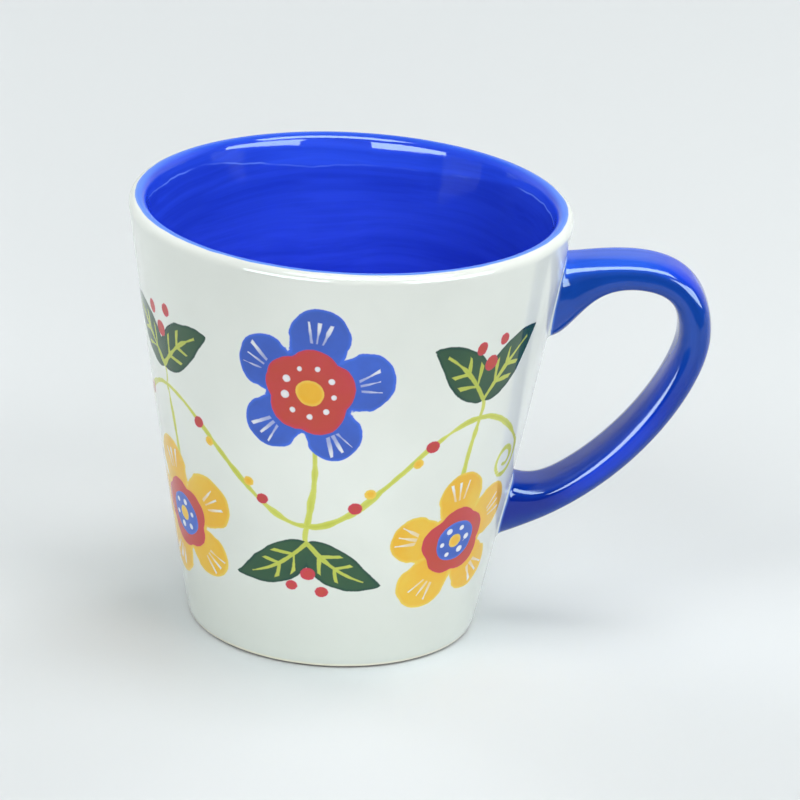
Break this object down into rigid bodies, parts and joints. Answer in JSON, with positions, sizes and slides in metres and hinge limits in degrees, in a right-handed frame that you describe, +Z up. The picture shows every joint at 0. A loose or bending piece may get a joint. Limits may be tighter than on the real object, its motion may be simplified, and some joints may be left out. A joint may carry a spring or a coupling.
{
  "type": "coffee cup",
  "caption": "Conical stoneware coffee cup with a loop handle, a full round lip and a recessed foot.",
  "frame": {"origin": "centre of the ring that the cup stands on", "axes": "+Z up along the body's axis, +X from the axis towards the handle"},
  "size_m": [0.1328, 0.1, 0.1003],
  "materials": {
    "glazed_stoneware": "gloss"
  },
  "bodies": {
    "root": {"cup": "glazed_stoneware"}
  },
  "joints": []
}
